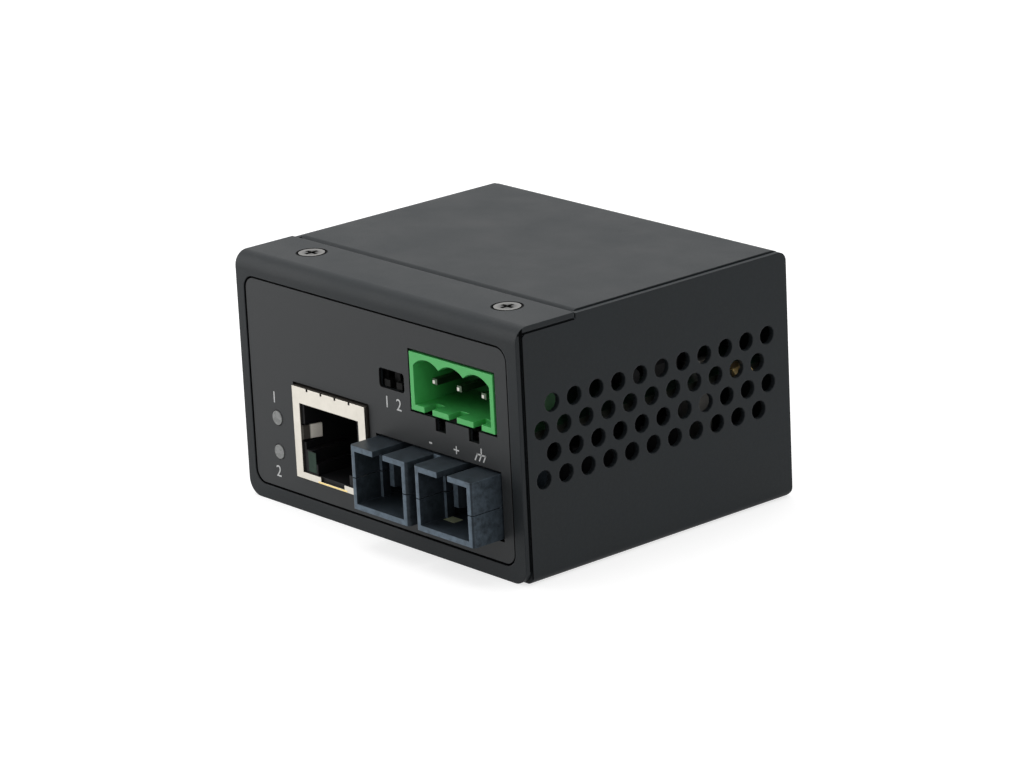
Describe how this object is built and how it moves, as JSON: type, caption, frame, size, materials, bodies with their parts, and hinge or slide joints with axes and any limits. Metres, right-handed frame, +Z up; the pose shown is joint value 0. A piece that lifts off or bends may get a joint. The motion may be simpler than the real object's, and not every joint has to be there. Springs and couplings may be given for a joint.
{
  "type": "fibre media converter",
  "caption": "Small metal-cased fibre media converter with a copper network socket, duplex optical ports, a power terminal, indicators and a small switch.",
  "frame": {"origin": "middle of the case's footprint, on the plane it stands on", "axes": "+X to the right along the front face, +Y from front to back, +Z up; the sockets face -Y"},
  "size_m": [0.06, 0.055, 0.036],
  "materials": {
    "case_coat": "satin fine-texture powder coat on sheet steel",
    "overlay_film": "satin printed film",
    "bright_screw": "nickel-plated steel",
    "plated_post": "nickel-plated",
    "brass_metal": "plain machined brass",
    "tinned_shell": "tin-plated sheet",
    "black_moulding": "moulded, fine texture",
    "gold_contact": "gold-plated",
    "slate_moulding": "moulded slate blue-grey",
    "white_ceramic": "polished zirconia",
    "green_moulding": "moulded bright green",
    "tinned_pin": "tinned",
    "board_laminate": "green solder mask",
    "lens_clear": "frosted translucent",
    "chip_resin": "moulded resin",
    "can_metal": "drawn can",
    "white_moulding": "moulded",
    "coil_ferrite": "pressed ferrite"
  },
  "bodies": {
    "root": {"chassis": "case_coat", "top_cover": "case_coat", "front_cover": "case_coat", "front_overlay": "overlay_film", "cover_brackets": "plated_post", "cover_screws": "bright_screw", "rear_screws": "bright_screw", "bottom_screws": "bright_screw", "clip_nuts": "plated_post", "lower_posts": "plated_post", "main_board": "board_laminate", "upper_posts": "plated_post", "power_board": "board_laminate", "board_screws": "bright_screw", "earth_clip": "brass_metal", "jack_shield": "tinned_shell", "jack_insert": "black_moulding", "jack_contacts": "gold_contact", "optic_upper_half": "slate_moulding", "optic_lower_half": "slate_moulding", "optic_core_left": "slate_moulding", "optic_core_right": "slate_moulding", "optic_sleeves": "white_ceramic", "optic_barrels": "plated_post", "optic_module": "black_moulding", "module_pin_row": "tinned_pin", "terminal_header": "green_moulding", "terminal_pins": "tinned_pin", "switch_body": "black_moulding", "lens_lower": "lens_clear", "lens_upper": "lens_clear", "indicator_holder": "black_moulding", "converter_chip": "chip_resin", "crystal": "can_metal", "line_transformer": "chip_resin", "main_capacitor": "can_metal", "power_capacitors": "can_metal", "power_inductor": "coil_ferrite", "power_converter": "chip_resin", "fuse": "white_moulding", "rectifier": "chip_resin", "link_header": "black_moulding", "link_receptacle": "black_moulding"},
    "lever_1": {"switch_lever_1": "black_moulding"},
    "lever_2": {"switch_lever_2": "black_moulding"}
  },
  "joints": [
    {"name": "lever_1_slide", "type": "slide", "parent": "root", "child": "lever_1", "axis": [0, 0, 1], "range_m": [0, 0.0014]},
    {"name": "lever_2_slide", "type": "slide", "parent": "root", "child": "lever_2", "axis": [0, 0, 1], "range_m": [0, 0.0014]}
  ]
}
